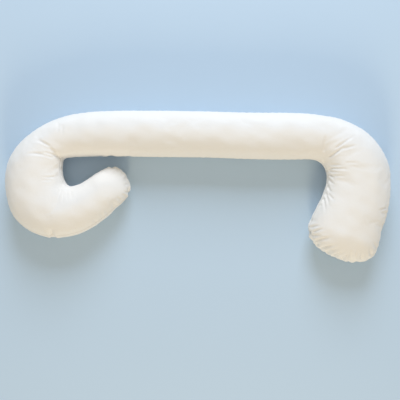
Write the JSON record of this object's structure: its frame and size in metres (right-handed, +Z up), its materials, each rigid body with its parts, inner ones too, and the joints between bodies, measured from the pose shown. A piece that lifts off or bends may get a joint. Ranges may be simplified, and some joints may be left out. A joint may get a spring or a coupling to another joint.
{
  "type": "pregnancy pillow",
  "caption": "Full-length hooked body pillow: a straight filled run with a curled hook at one end and a broad turned-in lobe at the other, lying flat.",
  "frame": {"origin": "on the surface the pillow lies on, under the middle of its bounding box", "axes": "+X along the straight run from the hook towards the lobe, +Y from the pillow's open side towards the straight run, +Z up, the way its upper panel faces"},
  "size_m": [1.5246, 0.6032, 0.1783],
  "materials": {
    "white_cotton": "matt plain-woven cotton, white"
  },
  "bodies": {
    "root": {"pillow": "white_cotton"}
  },
  "joints": []
}
